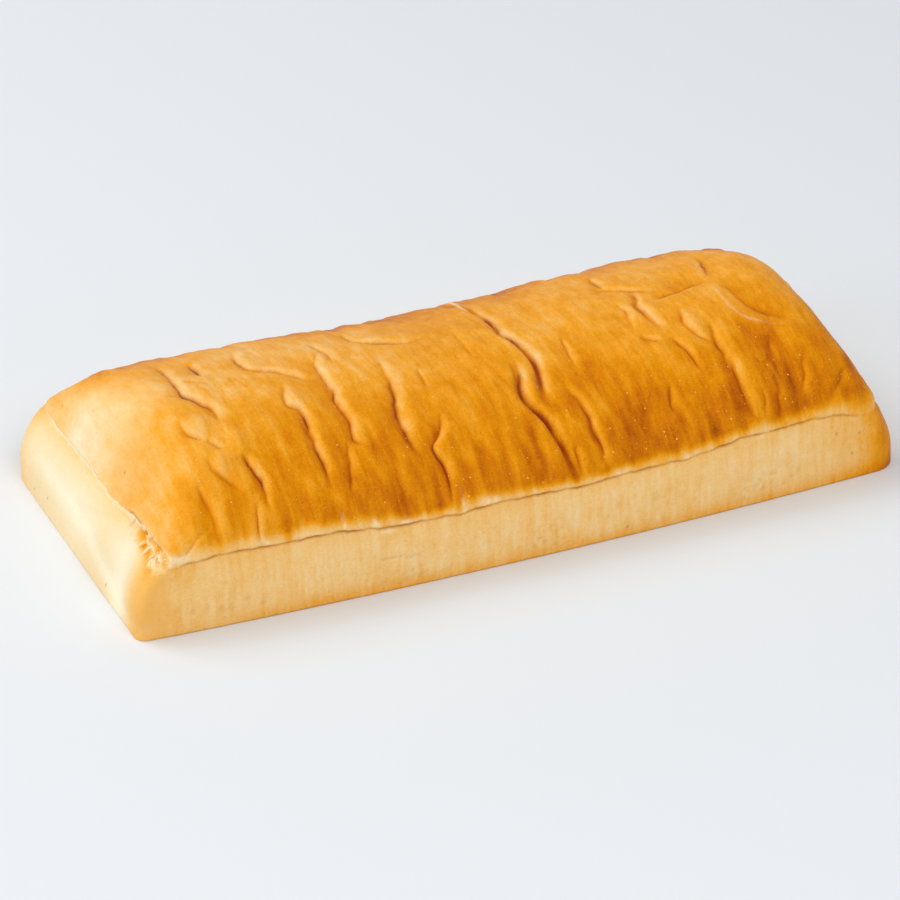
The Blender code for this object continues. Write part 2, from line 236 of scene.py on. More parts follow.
# ------------------------------
# Folds. The dome sank as it cooled and its thin crust crumpled: each fold is a
# sharp crease that the crust slopes down to from its left, and a steep lit flank
# on its right that leans over it. Folds are drawn from back to front.
# Points of a fold: mm along the loaf, and share of the half girth, -1 at the
# front seam, 0 on the ridge and 1 at the back seam. Width and depth are in mm;
# where lean is -1 it is the left side that rolls over the crease. A depth below
# 0 makes a ridge, which tore and shows pale crumb.
Fold = namedtuple("Fold", "path width depth lean", defaults=(1,))
FOLDS = (
    # Left shoulder: a stepped fold, its branches and the small lumps below it.
    Fold(((-98, 0.58), (-99, 0.26), (-100, 0.04), (-97, -0.06), (-94, -0.19), (-95.5, -0.28)), 2.2, 1.9),
    Fold(((-88, 0.47), (-88, 0.38), (-89, 0.20)), 2.0, 2.0),
    Fold(((-97, 0.18), (-90, 0.11)), 1.4, 0.6),
    Fold(((-106, 0.04), (-99, 0.02)), 1.6, 0.5),
    Fold(((-108, -0.23), (-106.6, -0.36), (-103, -0.41)), 1.6, 1.1),
    Fold(((-102.5, -0.41), (-98.5, -0.50)), 1.5, 0.8),
    Fold(((-105.6, -0.54), (-104.4, -0.63), (-101, -0.70), (-98, -0.78)), 2.0, 1.3),
    Fold(((-112, -0.68), (-111, -0.78), (-110, -0.89), (-110, -0.99)), 2.0, 1.1),
    Fold(((-93, -0.55), (-92, -0.62), (-90.5, -0.74), (-91, -0.88)), 2.0, 2.1),
    Fold(((-94.5, -0.83), (-96, -0.92), (-97, -1.0)), 1.1, 1.1),
    Fold(((-111, -0.90), (-118, -0.95), (-123, -1.0)), 0.8, 0.5),
    # Left of the middle.
    Fold(((-72, 0.50), (-74, 0.30), (-71.5, 0.19), (-64, 0.13), (-58.5, 0.03), (-56, -0.04)), 2.0, 1.4),
    Fold(((-66.5, -0.02), (-69.5, -0.21), (-66, -0.29), (-66.8, -0.44), (-67.8, -0.58), (-67.8, -0.70),
          (-69, -0.84)), 1.9, 2.1),
    Fold(((-46, 0.44), (-43.5, 0.24), (-44.5, 0.12)), 1.7, 1.1),
    Fold(((-46.5, 0.28), (-50.5, 0.12), (-51, -0.05), (-50.8, -0.15), (-52.8, -0.24), (-52, -0.41),
          (-54.2, -0.54), (-52.8, -0.62)), 1.9, 2.5),
    Fold(((-56.5, -0.55), (-58.7, -0.66), (-59.8, -0.74), (-63, -0.90)), 1.7, 1.2),
    Fold(((-30, 0.08), (-31.3, -0.17), (-33.9, -0.34), (-36.2, -0.48), (-36.5, -0.62), (-35, -0.75)),
         2.9, 1.8),
    Fold(((-19.9, -0.10), (-20.8, -0.29)), 1.6, 0.8),
    Fold(((-22.3, -0.49), (-24, -0.59), (-26.2, -0.64), (-29, -0.68), (-29.4, -0.74), (-28.2, -0.82),
          (-28.8, -0.90), (-30.2, -1.0)), 1.7, 2.4),
    Fold(((-32, 0.55), (-29, 0.33), (-17, 0.23), (-6, 0.25)), 2.0, 1.2),
    # The two great folds that overlap in the middle, the split lip of the first, and short ones
    # beside them.
    Fold(((12, 0.90), (16.5, 0.53), (16.5, 0.22), (15.5, 0.08), (17, -0.04), (18, -0.18), (17.5, -0.31),
          (15, -0.46), (13.5, -0.62)), 2.1, 2.6, -1),
    Fold(((11, -0.22), (10, -0.33), (7.5, -0.44), (7.5, -0.54), (10.5, -0.68), (12, -0.80), (13.5, -0.92),
          (15, -1.0)), 2.2, 3.0, -1),
    Fold(((16.8, 0.79), (16.9, 0.68), (15.8, 0.47)), 1.9, -1.9),
    Fold(((17.7, -0.85), (17.4, -0.98)), 1.3, 1.4),
    Fold(((2.5, 0.22), (1, -0.12)), 1.3, 0.6),
    Fold(((33.9, -0.08), (32.2, -0.23), (31, -0.39)), 1.5, 0.8),
    Fold(((23.5, -0.50), (26.5, -0.70), (26, -0.81), (27, -0.89), (25, -0.97)), 2.3, 1.6),
    # Right of the middle: a branching fold, a curved line round the +X shoulder, and low ones.
    Fold(((63, 0.52), (62, 0.29)), 1.8, 1.3),
    Fold(((58.5, 0.33), (62, 0.29), (67.6, 0.21), (74, 0.10)), 1.6, 1.3),
    Fold(((60.2, 0.09), (60.2, -0.04), (58, -0.20)), 1.5, 1.0),
    Fold(((67.4, 0.19), (66.5, 0.07), (64.4, 0.0), (65.1, -0.14), (66.6, -0.27)), 1.8, 2.0, -1),
    Fold(((58, -0.28), (63.5, -0.36)), 1.5, 1.2),
    Fold(((67.4, -0.34), (70, -0.47), (70.8, -0.53), (71.4, -0.63)), 1.6, 1.5),
    Fold(((57.8, -0.66), (54.9, -0.83)), 2.0, 1.0),
    Fold(((95, 0.07), (85, 0.05), (78, 0.02), (69, 0.0)), 2.0, 1.1),
    Fold(((96, 0.11), (99, 0.26), (101, 0.42)), 2.0, 1.2),
    Fold(((111, -0.46), (106, -0.41), (100, -0.29), (98.5, -0.12), (97, 0.04)), 2.4, 0.7),
    Fold(((109, -0.50), (101.3, -0.44), (95.8, -0.35), (93.2, -0.18), (95.2, 0.05)), 1.3, -0.12),
    Fold(((77.8, -0.12), (75.4, -0.25), (76.4, -0.37), (79.5, -0.47)), 1.8, 1.2),
    Fold(((83.4, -0.32), (81.6, -0.46), (81.8, -0.57), (80.6, -0.70)), 2.4, 1.3),
    Fold(((83.4, -0.58), (82.4, -0.76), (82.8, -0.96)), 2.8, 1.9),
    Fold(((100, -0.52), (98, -0.65), (97.5, -0.82)), 2.2, 1.0),
    Fold(((107.9, -0.70), (105.9, -0.81), (103.5, -0.90)), 1.8, 0.9),
    Fold(((90.9, -0.63), (91.8, -0.664), (93.5, -0.676), (95.3, -0.664), (96.1, -0.63)), 0.8, 0.9),
    Fold(((89.3, -0.82), (87.4, -0.96)), 1.5, 0.9),
    Fold(((94.5, -0.85), (92.5, -0.98)), 1.5, 0.8),
    Fold(((122, -0.80), (117, -0.89), (111, -0.97)), 2.0, 0.7),
)
# Shape of a fold, in its own widths: the slope down to it in a near and a far
# part, the steep side, and the swelling that follows the lit flank.
NEAR_SLOPE = (0.75, 1.1)  # width, and the power of its bell
FAR_SLOPE = (3.0, 1.3)
FAR_SHARE = 0.42
STEEP_SIDE = (0.62, 1.4)
CREST = 0.24
CREST_START = 0.95
CREST_REACH = 3.0
ROLL = 0.20  # the rolled lip of a fold that leans the other way
ROLL_PLACE = 0.85
ROLL_BREADTH = 0.5
ROLL_SLOPE = (1.2, 1.3)
ROLL_JAG = 0.2  # share of the zigzag that such a fold has
CROWN_PLACE = 0.62  # folds flatten where they cross this share of the half girth
CROWN_BREADTH = 0.13
CROWN_FLATTENING = 0.75
OVERHANG = 0.34
OVERHANG_PLACE = 0.5
# Colour of a fold: painted shade in the core of its crease, and a painted highlight on its lit flank.
CREASE_CORE = (0.36, 1.4)
CREASE_PLACE = 0.18  # the painted shade of the crease's core lies this far right of the line, less the lean
CREASE_LEAN = 0.28
FLANK_START = 0.5  # the painted highlight on the lit flank is full here, past the core, and then fades
FLANK_FADE = 0.8
FLANK_FADE_START = 0.55
PATH_STEPS = 8
CREASE_JAG = 0.6  # a crease zigzags a little, as pinched crust does
CREASE_JAG_SIZE = (4.6, 4.6)
CREASE_JAG_REACH = 2.6
PINCH = 1.6  # and its painted shade is darker here and there, where the crease is pinched
PINCH_SIZE = (9, 9)
PINCH_RANGE = (0.35, 1.7)


def bell(value, breadth, power=2):
    """1 where value is 0, falling off to both sides over its breadth."""
    return np.exp(-np.abs(value / breadth) ** power)


def smooth_path(points):
    """Catmull-Rom curve through a fold's points, in mm of crust."""
    knots = np.array([(x, across * HALF_GIRTH) for x, across in points], float)
    knots = np.vstack((2 * knots[0] - knots[1], knots, 2 * knots[-1] - knots[-2]))
    steps = np.linspace(0, 1, PATH_STEPS, endpoint=False)[:, None]
    curve = []
    for before, start, end, after in zip(knots, knots[1:], knots[2:], knots[3:]):
        curve.append(0.5 * (2 * start + (end - before) * steps
                            + (2 * before - 5 * start + 4 * end - after) * steps ** 2
                            + (3 * start - before - 3 * end + after) * steps ** 3))
    return np.vstack(curve + [knots[-2:-1]])


def along_path(path, x, t):
    """For each place on the crust: its distance to the left of a path, its run along it,
    and how squarely the path crosses the loaf there."""
    nearest = np.full(x.shape, np.inf)
    aside = np.zeros(x.shape)
    run = np.zeros(x.shape)
    square = np.zeros(x.shape)
    for number, (start, end) in enumerate(zip(path, path[1:])):
        step = end - start
        across_x = x - start[0]
        across_t = t - start[1]
        part = np.clip((across_x * step[0] + across_t * step[1]) / (step @ step), 0, 1)
        distance = np.hypot(across_x - part * step[0], across_t - part * step[1])
        left = np.sign(step[0] * across_t - step[1] * across_x)
        closer = distance < nearest
        nearest = np.where(closer, distance, nearest)
        aside = np.where(closer, left * distance, aside)
        run = np.where(closer, (number + part) / (len(path) - 1), run)
        square = np.where(closer, -step[1] / np.hypot(*step), square)
    return aside, run, square


# The back of the dome is folded like the front, at an uneven spacing. A fold's
# foot and top are shares of the half girth; the rest is in mm.
BACK_FOLD_COUNT = 12
BACK_FOLD_REACH = 112
BACK_FOLD_WANDER = 5
BACK_FOLD_BEND = 3
BACK_FOLD_FEET = (0.85, 1.0)
BACK_FOLD_TOPS = (0.55, 0.72)
BACK_FOLD_WIDTHS = (1.9, 2.7)
BACK_FOLD_DEPTHS = (1.0, 2.2)
BACK_FOLD_SEED = 7


def back_folds():
    draw = np.random.default_rng(BACK_FOLD_SEED)
    folds = []
    for foot_x in np.linspace(-BACK_FOLD_REACH, BACK_FOLD_REACH, BACK_FOLD_COUNT):
        foot_x += draw.uniform(-BACK_FOLD_WANDER, BACK_FOLD_WANDER)
        top_x = foot_x + draw.uniform(-BACK_FOLD_WANDER, BACK_FOLD_WANDER)
        middle_x = (foot_x + top_x) / 2 + draw.uniform(-BACK_FOLD_BEND, BACK_FOLD_BEND)
        foot = draw.uniform(*BACK_FOLD_FEET)
        top = draw.uniform(*BACK_FOLD_TOPS)
        path = ((top_x, top), (middle_x, (foot + top) / 2), (foot_x, foot))
        folds.append(Fold(path, draw.uniform(*BACK_FOLD_WIDTHS), draw.uniform(*BACK_FOLD_DEPTHS)))
    return folds


def taper(run):
    """1 along the middle of a path, falling to 0 at its ends."""
    return 1 - np.abs(2 * run - 1) ** 3


# The grid's lines gather at the creases, so that these stay sharp.
GATHER = 0.55
GATHER_REACH = 4
GATHER_RIM = 6  # less so nearer the end seams than this

folds = list(FOLDS) + back_folds()
fold_paths = [smooth_path(fold.path) for fold in folds]
crust_t = grid_v * HALF_GIRTH
level_x, _ = plan_point(grid_u, grid_v, 1)
pull = np.zeros(grid_u.shape)
for path in fold_paths:
    aside, run, square = along_path(path, level_x, crust_t)
    pull -= GATHER * taper(run) * square * aside * bell(aside, GATHER_REACH)
grid_ends = half_length(grid_u, 1)
grid_u = grid_u + pull * ramp((1 - np.abs(grid_u)) * grid_ends, 0, GATHER_RIM) / grid_ends

dome_x, plan_y = plan_point(grid_u, grid_v, 1)
share = dome_share(grid_u, grid_v, dome_x)
ridge_rise = RIDGE_RISE + RIDGE_SAG * (dome_x / (LENGTH / 2)) ** 2
above_seam = ridge_rise * share
wander = seam_wander(dome_x, plan_y)
dome = np.stack((dome_x, plan_y + RIDGE_SHIFT * share, even_seam_height(dome_x) + above_seam), -1)
lengthways = unit(np.gradient(dome, axis=0))
outwards = unit(np.cross(np.gradient(dome, axis=0), np.gradient(dome, axis=1)))

# Broad rises and hollows, and the small lumps that a fold pushed up beside it:
# place as above, half length, half breadth and height in mm.
Swell = namedtuple("Swell", "x across length breadth height")
SWELLS = (
    Swell(-108, 0.6, 18, 26, -1.0),
    Swell(-68, 0.6, 24, 30, 0.6),
    Swell(0, 0.5, 30, 40, -1.2),
    Swell(66, 0.6, 26, 32, 0.5),
    Swell(119, 0.62, 13, 17, -2.2),
    Swell(-102.5, -0.28, 3.4, 6.0, 1.2),
    Swell(-92.5, -0.44, 2.6, 7.0, 1.1),
    Swell(-101, -0.58, 2.6, 5.0, 1.0),
    Swell(-65.5, -0.20, 3.0, 5.0, 1.0),
    Swell(-47.5, 0.20, 2.8, 4.0, 0.9),
    Swell(-24, -0.69, 2.6, 4.5, 0.9),
    Swell(12, -0.42, 2.2, 9.0, 0.9),
    Swell(68.5, -0.06, 3.2, 6.0, 0.9),
    Swell(61.3, -0.06, 1.8, 8.0, 0.6),
    Swell(77.8, -0.28, 2.4, 9.0, 0.5),
    Swell(86, 0.14, 9, 7.0, -0.7),
    Swell(72, -0.46, 3.0, 7.0, 0.8),
    Swell(-18, 0.31, 13, 3.6, 0.8),
    Swell(93.5, -0.64, 2.0, 2.4, 0.5),
)
# Even relief of the crust: height, size and seed of its lumps, its shallow
# unevenness and its dimples.
EVEN_RELIEF = ((0.8, (22, 55), 0), (0.30, (4.0, 6.4), 5), (0.12, (1.8, 2.34), 11))
PUCKER_HEIGHT = 0.75  # fine puckers that cross the loaf, mostly low on the dome
PUCKER_SIZE = (5.2, 30)
PUCKER_ON_TOP = 0.3
LOW_FRONT = 0.3  # shares of the half girth where the low part starts, and is full
LOW_BACK = 0.6
LOW_SPREAD = 0.5
SMOOTH_SHARE = 0.75  # just behind the ridge the puckers are fainter by this share
SMOOTH_PLACE = 0.5
SMOOTH_BREADTH = 0.25
SETTLE_REACH = 3.5  # the relief fades out over this height above the seam



def crust_noise(size, seed):
    """Unevenness of the dome's crust, from -1 to 1; size is that of its features in mm."""
    return soft_noise(in_plan(dome_x, crust_t), (*size, 1), seed)


def swelling(swell):
    """What a swell adds at each point of the dome."""
    along = bell(dome_x - swell.x, swell.length)
    return swell.height * along * bell(crust_t - swell.across * HALF_GIRTH, swell.breadth)


relief = np.zeros(dome_x.shape)
crease_shade = np.zeros(dome_x.shape)
flank_highlight = np.zeros(dome_x.shape)
overhang = np.zeros(dome_x.shape)
on_crown = 1 - CROWN_FLATTENING * bell(grid_v - CROWN_PLACE, CROWN_BREADTH)
jag = CREASE_JAG * crust_noise(CREASE_JAG_SIZE, 10)
pinch = np.clip(1 + PINCH * crust_noise(PINCH_SIZE, 23), *PINCH_RANGE)
for fold, path in zip(folds, fold_paths):
    aside, run, square = along_path(path, dome_x, crust_t)
    depth = fold.depth * taper(run) * on_crown
    shake = 1 if fold.lean > 0 else ROLL_JAG
    aside = (aside + shake * jag * bell(aside, CREASE_JAG_REACH)) / fold.width
    slope = (1 - FAR_SHARE) * bell(aside, *NEAR_SLOPE)
    slope += FAR_SHARE * bell(aside, *FAR_SLOPE)
    steep = bell(aside, *STEEP_SIDE)
    crest = CREST * (1 - bell(aside, CREST_START)) * bell(aside, CREST_REACH, 1) * (aside > 0)
    if fold.lean > 0:
        profile = crest - np.where(aside < 0, slope, steep)
    else:
        roll = ROLL * bell(aside + ROLL_PLACE, ROLL_BREADTH)
        profile = crest + roll - np.where(aside < 0, steep, bell(aside, *ROLL_SLOPE))
    relief += depth * profile
    # Painted shade in the crease's core, and a painted highlight on its lit flank.
    past = aside - CREASE_PLACE + CREASE_LEAN * fold.lean
    crease_shade += depth * pinch * bell(past, *CREASE_CORE)
    fading = np.clip(past - FLANK_FADE_START, 0, None)
    flank_highlight += depth * ramp(past, 0, FLANK_START) * bell(fading, FLANK_FADE)
    over = aside * fold.lean - OVERHANG_PLACE
    overhang += fold.lean * OVERHANG * depth * square * bell(over, OVERHANG_PLACE)
for swell in SWELLS:
    relief += swelling(swell)

low_starts = np.where(grid_v < 0, LOW_FRONT, LOW_BACK)
low_on_dome = ramp(np.abs(grid_v), low_starts, low_starts + LOW_SPREAD)
puckering = PUCKER_ON_TOP + (1 - PUCKER_ON_TOP) * low_on_dome
puckering *= 1 - SMOOTH_SHARE * bell(grid_v - SMOOTH_PLACE, SMOOTH_BREADTH)
relief += PUCKER_HEIGHT * puckering * crust_noise(PUCKER_SIZE, 4)
for height, size, seed in EVEN_RELIEF:
    relief += height * crust_noise(size, seed)
settled = ramp(above_seam, 0, SETTLE_REACH)

# ------------------------------
# Torn lips. Along the sides the dome's skin stands a little proud of the wall under it, over a narrow
# crack that is darkened with painted shade. At the -X end it tore flush with the wall and shows a pale
# line of crumb, rough at the front corner; +X hardly tore.
SEAM_DEPTH = 0.8
SEAM_LIP = 0.5
LIP_REACH = 4
CRACK_HALF_WIDTH = 0.36
RIGHT_CLOSES = (124, 112)  # the seam is shut at the first place, and open from the second
LEFT_CLOSES = (-127, -121)
LEFT_OPENNESS = 0.06
CRACK_PLACES = np.linspace(-140, 140, 64)
CRACK_SHARES = np.random.default_rng(4).uniform(0.1, 1.15, 64)  # it gapes and closes at random
LEFT_FULLNESS = 0.8  # where the seam is shut, the crust bulges over its dip
RIGHT_FULLNESS = 1.9
RIGHT_FULLNESS_UP = 0.5  # at +X it bulges most a little over the seam
FULLNESS_REACH = 5


def fade(value, start, end):
    """Like ramp, but with a soft start and end."""
    share = ramp(value, start, end)
    return share * share * (3 - 2 * share)


def seam_openness(x):
    left = LEFT_OPENNESS + (1 - LEFT_OPENNESS) * fade(x, *LEFT_CLOSES)
    return left * fade(x, *RIGHT_CLOSES)


def crack_share(x):
    """How open the crack is: pinched here and there, and shut at both ends."""
    return seam_openness(x) * np.interp(x, CRACK_PLACES, CRACK_SHARES)


def crack_inset(x, distance):
    """How far the crust turns into the crack, at a distance above or below its middle."""
    return SEAM_DEPTH * crack_share(x) * bell(distance, CRACK_HALF_WIDTH)


def fullness(x, up):
    """How far the crust bulges at a shut seam; up is the height over it."""
    bulge = np.where(x < 0, LEFT_FULLNESS, RIGHT_FULLNESS)
    middle = np.where(x < 0, 0, RIGHT_FULLNESS_UP)
    return bulge * (1 - seam_openness(x)) * bell(up - middle, FULLNESS_REACH)


# Places across the -X end, and how far above the rim its pale tear runs there.
TEAR_Y = (-66, -60, -54, -46, -38, -30, -23, -12, 6, 24, 42, 58)
TEAR_UP = (0.0, 2.3, 3.4, 2.6, 1.6, 1.2, 0.6, 0.2, 0.4, 0.2, 0.2, 0.4)
TEAR_X = (-118, -126)  # the tear sets in between these
TEAR_BACK = (56, 42)
TEAR_HALF_WIDTH = 0.45
TEAR_JAG = 0.5
TEAR_JAG_LENGTH = 3.1
TEAR_STEP = 0.45  # the skin stands this much proud above the tear
TEAR_STEP_START = 0.8
TEAR_STEP_REACH = 5
UNDER_TEAR = (0, -0.5)  # heights over the line from which the wall's crust is under it
TORN_X = (-123, -127)
TORN_Y = -49  # middle of the torn corner
TORN_SPREAD = (15, 5.625)  # it thins out between these distances from there
TORN_FOOT = (-3.8, -2.2)  # heights over the rim between which its crumb sets in
TORN_TOP = (0.6, -0.3)  # and heights over the tear line
TORN_RELIEF = 0.95
TORN_SIZE = 4.0
TORN_FINE_SHARE = 0.7
GAPE_UP = 0.6  # height over the tear at which the skin gapes
GAPE_LEFT = (-41, -38)  # it gapes between these places across the end
GAPE_RIGHT = (-27, -30)
SLIT_Y = -33.5  # a slit runs down the wall from there
SLIT_HALF_WIDTH = 0.6
SLIT_FOOT = (-4, -2)
SLIT_TOP = (0.8, 0.2)
SLIT_SHARE = 0.7
SLIT_DEPTH = 0.5


def tear_marks(x, y, up):
    """Tear line, the step of skin above it, torn crumb, the wall under it and slits, at a place
    of the -X end; up is its height over the rim."""
    at_end = fade(x, *TEAR_X) * fade(y, *TEAR_BACK)
    jag = TEAR_JAG * soft_noise(in_plan(x, y), TEAR_JAG_LENGTH, 13)
    over = up - np.interp(y, TEAR_Y, TEAR_UP) - jag
    line = at_end * bell(over, TEAR_HALF_WIDTH)
    step = at_end * TEAR_STEP * fade(over, 0, TEAR_STEP_START)
    step *= bell(np.clip(over, 0, None), TEAR_STEP_REACH, 1)
    torn = fade(x, *TORN_X) * fade(np.abs(y - TORN_Y), *TORN_SPREAD)
    torn = torn * fade(up, *TORN_FOOT) * fade(over, *TORN_TOP)
    under = at_end * fade(over, *UNDER_TEAR)
    gape = fade(y, *GAPE_LEFT) * fade(y, *GAPE_RIGHT) * bell(over - GAPE_UP, TEAR_HALF_WIDTH)
    down = bell(y - SLIT_Y, SLIT_HALF_WIDTH) * fade(over, *SLIT_FOOT) * fade(over, *SLIT_TOP)
    slit = at_end * np.maximum(gape, SLIT_SHARE * down)
    return line * (1 - slit), step - SLIT_DEPTH * slit, torn, under, slit


def tatters(places):
    """Crags of torn crumb, from about -1 to 1."""
    coarse = 1 - 3 * np.abs(soft_noise(places, TORN_SIZE, 14))
    return coarse + TORN_FINE_SHARE * soft_noise(places, TORN_SIZE / 3, 15)


dome_line, dome_step, dome_torn, dome_under, dome_slit = tear_marks(dome_x, plan_y, above_seam)
lip = SEAM_LIP * bell(above_seam, LIP_REACH) * seam_openness(dome_x)
lip += fullness(dome_x, above_seam) - crack_inset(dome_x, above_seam)
dome += unit(in_plan(dome_x / LENGTH, plan_y / WIDTH)) * lip[..., None]
dome += outwards * (relief * settled + dome_step)[..., None]
dome -= lengthways * (overhang * settled)[..., None]
dome[..., 2] += wander * (1 - share) ** 2
dome_tatters = tatters(dome)
dome += outwards * (TORN_RELIEF * dome_torn * (dome_tatters - 0.5))[..., None]

# ------------------------------
# Walls. The tin pressed the sides smooth, and steam left fine upright streaks
# and pores in them. They shrank from the tin into shallow hollows, deepest on
# the -X end beside the front corner.
WALL_DENTS = 0.7
DENT_SIZE = 30
STREAK_HEIGHT = 0.09
STREAK_WIDTH = 1.8
STREAK_LENGTH = 14
PIT_DEPTH = 0.45
PIT_SIZE = 1.7
PIT_START = 0.08
PIT_PATCH = 20  # pores come in patches, on the lower half of the sides
PIT_PATCH_EDGE = (-0.15, 0.35)
PIT_X = (-132, -124)
PIT_LOW = (0, 3)
PIT_HIGH = (17, 9)
# Larger pores near the front corner, along the loaf and up, and their radius and depth.
PORES = ((-126, 9.6), (-121.3, 7.8), (-116.3, 7.9), (-111.6, 6.8), (-107.9, 5.9), (-103, 8.6),
         (-97, 6.2))
PORE_RADIUS = 0.9
PORE_DEPTH = 0.4
WALL_STEPS_UP = (0.0, 0.12, 0.4, 0.85, 1.4, 2.0)
WALL_STEP = 0.95
WALL_TOP_STEPS = (2.9, 2.1, 1.45, 0.95, 0.6, 0.32)
END_WALL_X = (-124, -136)  # the -X end's own finish sets in between these
HOLLOW_X = (-120, -132)
# Hollows of the -X end: place across, half breadth and depth in mm.
Hollow = namedtuple("Hollow", "y breadth depth")
END_HOLLOWS = (Hollow(-40, 9, 2.6), Hollow(4, 24, 1.5))
TROUGH_Y = (-44, -36, -13, 40)  # a trough runs along the -X end at these heights
TROUGH_UP = (3, 7, 13, 15)
TROUGH_BACK = (48, 32)
TROUGH_HALF_WIDTH = 3.5
TROUGH_DEPTH = 0.7


def in_trough(x, y, z):
    """How deep a place on the wall is in the trough of the -X end, as a share."""
    aside = z - np.interp(y, TROUGH_Y, TROUGH_UP)
    return fade(x, *END_WALL_X) * fade(y, *TROUGH_BACK) * bell(aside, TROUGH_HALF_WIDTH)


last_i, last_j = np.array(dome_x.shape) - 1
rim = ([(i, 0) for i in range(last_i)] + [(last_i, j) for j in range(last_j)]
       + [(i, last_j) for i in range(last_i, 0, -1)] + [(0, j) for j in range(last_j, 0, -1)])
rim_i, rim_j = np.array(rim).T
rim_u = grid_u[rim_i, rim_j]
rim_v = grid_v[rim_i, rim_j]
rim_top = even_seam_height(dome_x[rim_i, rim_j]) + wander[rim_i, rim_j]
top_steps = SEAM_HEIGHT - np.array(WALL_TOP_STEPS)
middle_steps = np.arange(WALL_STEPS_UP[-1] + WALL_STEP, top_steps[0] - WALL_STEP / 2, WALL_STEP)
wall_levels = np.concatenate((WALL_STEPS_UP, middle_steps, top_steps)) / SEAM_HEIGHT


def wall_pores(place):
    """Depth of the pores at places on the wall, as a share."""
    x, y, z = place.T
    patches = ramp(x, *PIT_X) * ramp(z, *PIT_LOW) * ramp(z, *PIT_HIGH)
    patches *= fade(soft_noise(place, PIT_PATCH, 17), *PIT_PATCH_EDGE)
    pores = patches * 2 * np.clip(soft_noise(place, PIT_SIZE, 16) - PIT_START, 0, 1)
    for pore_x, pore_z in PORES:
        gap = np.hypot(x - pore_x, z - pore_z)
        pores = np.maximum(pores, PORE_DEPTH / PIT_DEPTH * bell(gap, PORE_RADIUS) * (y < 0))
    return pores


def wall_ring(height_share):
    """One level of the wall, all round the loaf, and the marks of tearing and pores on it."""
    x, y = plan_point(rim_u, rim_v, height_share)
    z = height_share * rim_top
    below = rim_top - z
    place = np.stack((x, y, z), -1)
    edge = 1 - ramp(z, 0, BASE_EDGE_RADIUS)
    inset = BASE_EDGE_RADIUS * (1 - np.sqrt(1 - edge ** 2))
    belly = math.sin(math.pi * height_share)
    inset += WALL_DENTS * np.abs(soft_noise(place, DENT_SIZE, 0)) * belly
    for hollow in END_HOLLOWS:
        inset += hollow.depth * belly * fade(x, *HOLLOW_X) * bell(y - hollow.y, hollow.breadth)
    inset += STREAK_HEIGHT * soft_noise(place, (STREAK_WIDTH, STREAK_WIDTH, STREAK_LENGTH), 6)
    pores = wall_pores(place)
    inset += PIT_DEPTH * pores + TROUGH_DEPTH * in_trough(x, y, z)
    inset += crack_inset(x, below) - fullness(x, -below)
    line, step, torn, _, slit = tear_marks(x, y, -below)
    crags = tatters(place)
    inset -= step + TORN_RELIEF * torn * (crags - 0.5)
    out = unit(in_plan(x / LENGTH, y / WIDTH))
    return place - out * inset[:, None], line, torn, pores, crags, slit


wall_rings = [wall_ring(level) for level in wall_levels]
walls, wall_line, wall_torn, wall_pits, wall_tatters, wall_slit = map(np.stack, zip(*wall_rings))

# ------------------------------
# The loaf as one closed skin: the dome's grid, the walls hanging from its rim,
# and a flat base as the tin's bottom left it.
rows, columns = dome_x.shape
dome_number = np.arange(rows * columns).reshape(rows, columns)
ring_size = len(rim)
wall_number = rows * columns + np.arange(walls[..., 0].size).reshape(len(wall_levels), ring_size)
rings = np.vstack((wall_number, dome_number[rim_i, rim_j]))


def quads(corner, right, far, up):
    return np.stack((corner, right, far, up), -1).reshape(-1, 4)


dome_faces = quads(dome_number[:-1, :-1], dome_number[1:, :-1], dome_number[1:, 1:], dome_number[:-1, 1:])
around = np.roll(rings, -1, axis=1)
wall_faces = quads(rings[:-1], around[:-1], around[1:], rings[1:])
base_face = rings[0][::-1].tolist()
skin_places = np.vstack((dome.reshape(-1, 3), walls.reshape(-1, 3)))


def add_piece(name, places, faces):
    """A smooth mesh object from places in mm."""
    mesh = bpy.data.meshes.new(name)
    mesh.from_pydata((np.asarray(places) * MM).tolist(), [], faces)
    mesh.shade_smooth()
    piece = bpy.data.objects.new(name, mesh)
    bpy.context.scene.collection.objects.link(piece)
    return piece


loaf = add_piece("baked_loaf", skin_places, dome_faces.tolist() + wall_faces.tolist() + [base_face])
skin = loaf.data

# ------------------------------
# Browning. The free dome baked golden, deepest low on its sides and to the +X end; the band that the rim
# shaded, the walls in the tin and above all the -X end stayed pale. Tin corners and the lower edge caught
# more heat. Some tones also paint light and shade: on the relief and the lit flanks of folds, at the
# foot, and in the trough and hollows of the -X end.

# Shares of browning run from 0 for raw dough to 1 for scorched crust. A tone
# adds its share where it sets in: between two places along the loaf in mm, and
# between two shares of the half girth across the dome.
EVERYWHERE = (-999, -998)
Tone = namedtuple("Tone", "share along across", defaults=(EVERYWHERE, EVERYWHERE))
CROWN_BAKE = 0.49
DOME_TONES = (
    Tone(0.26, across=(0.2, -1)),  # low on the front
    Tone(0.26, across=(0.4, 0.9)),  # low at the back
    Tone(0.03, (-10, 50)),  # right of the middle
    Tone(-0.08, (-68, -118)),  # towards the -X end
    Tone(-0.08, (-76, -104), (-0.2, -0.65)),  # low on the shoulder of that end
    Tone(-0.16, (-114, -130)),  # beside its tear
)
BACK_END_PALING = 0.11  # less at the back of that end, between these places
BACK_END_X = (-106, -126)
BACK_END_Y = (-15, 25)
LIP_BAKE = 0.07  # more on the lip over the tear, at the front
LIP_Y = (0, -30)
